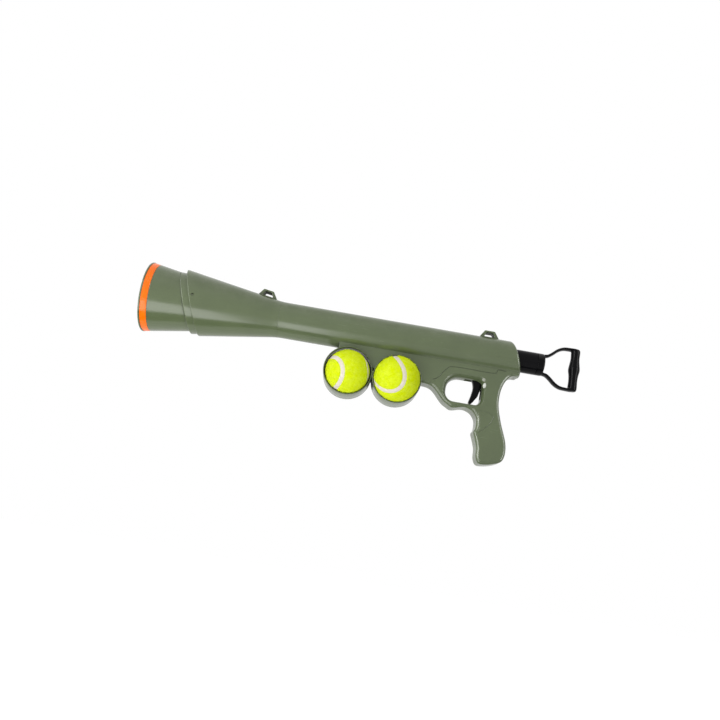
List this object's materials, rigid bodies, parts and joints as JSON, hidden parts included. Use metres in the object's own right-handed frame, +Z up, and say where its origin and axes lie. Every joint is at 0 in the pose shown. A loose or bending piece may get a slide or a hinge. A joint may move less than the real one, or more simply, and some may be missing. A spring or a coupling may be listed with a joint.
{
  "type": "dog ball launcher",
  "caption": "Spring-driven hand launcher for dog tennis balls: flared muzzle, round barrel with strap lugs, trigger guard and pistol grip, rear pull handle and an under-barrel ball holder.",
  "frame": {"origin": "middle of the pistol grip, on the parting plane of the housing, 105 mm below the bore's axis", "axes": "-X along the bore towards the muzzle, +X towards the pull handle, +Z up, -Y the side that the picture shows and the balls leave from"},
  "size_m": [0.6127, 0.0972, 0.2025],
  "materials": {
    "olive_plastic": "smooth moulded olive green, semi-gloss",
    "orange_rubber": "smooth bright orange band",
    "black_plastic": "black, semi-gloss",
    "black_rubber": "matt black rubber",
    "pale_nylon": "natural nylon",
    "spring_steel": "drawn spring wire and pins",
    "screw_steel": "zinc-plated screws",
    "ball_felt": "yellow-green felt with pale seams"
  },
  "bodies": {
    "launcher": {"nozzle": "olive_plastic", "muzzle_band": "orange_rubber", "funnel": "olive_plastic", "ball_holder": "olive_plastic", "housing_left": "olive_plastic", "housing_right": "olive_plastic", "housing_screw_1": "screw_steel", "housing_screw_2": "screw_steel", "housing_screw_3": "screw_steel", "housing_screw_4": "screw_steel", "housing_screw_5": "screw_steel", "housing_screw_6": "screw_steel", "housing_screw_7": "screw_steel", "bumper_ring": "black_rubber", "main_spring": "spring_steel", "spring_seat": "pale_nylon", "rear_bush": "pale_nylon", "sear_pin": "spring_steel", "trigger_pin": "spring_steel", "sear_spring": "spring_steel", "trigger_spring": "spring_steel"},
    "plunger": {"piston": "black_plastic", "piston_seal": "black_rubber", "striker_pad": "black_rubber", "plunger_tube": "black_plastic", "pull_handle": "black_plastic"},
    "trigger": {"trigger": "black_plastic"},
    "sear": {"sear": "pale_nylon"},
    "front_ball": {"front_ball": "ball_felt"},
    "rear_ball": {"rear_ball": "ball_felt"}
  },
  "joints": [
    {"name": "plunger_slide", "type": "slide", "parent": "launcher", "child": "plunger", "axis": [1, 0, 0], "range_m": [0, 0.1], "stiffness_N_per_m": 260, "springref_m": -0.04, "deforming": ["main_spring"]},
    {"name": "trigger_hinge", "type": "hinge", "parent": "launcher", "child": "trigger", "pos_m": [-0.0175, 0, 0.071], "axis": [0, -1, 0], "range_deg": [0, 10], "stiffness_Nm_per_rad": 0.5, "springref_deg": -6.88, "deforming": ["trigger_spring"]},
    {"name": "sear_hinge", "type": "hinge", "parent": "launcher", "child": "sear", "pos_m": [-0.03, 0, 0.081], "axis": [0, -1, 0], "range_deg": [0, 5], "stiffness_Nm_per_rad": 0.4, "springref_deg": -6.88, "deforming": ["sear_spring"]},
    {"name": "front_ball_out", "type": "slide", "parent": "launcher", "child": "front_ball", "axis": [0, -1, 0], "range_m": [0, 0.05]},
    {"name": "rear_ball_out", "type": "slide", "parent": "launcher", "child": "rear_ball", "axis": [0, -1, 0], "range_m": [0, 0.05]}
  ],
  "couplings": [
    {"joint": "sear_hinge", "follows": "trigger_hinge", "ratio": 0.49}
  ]
}
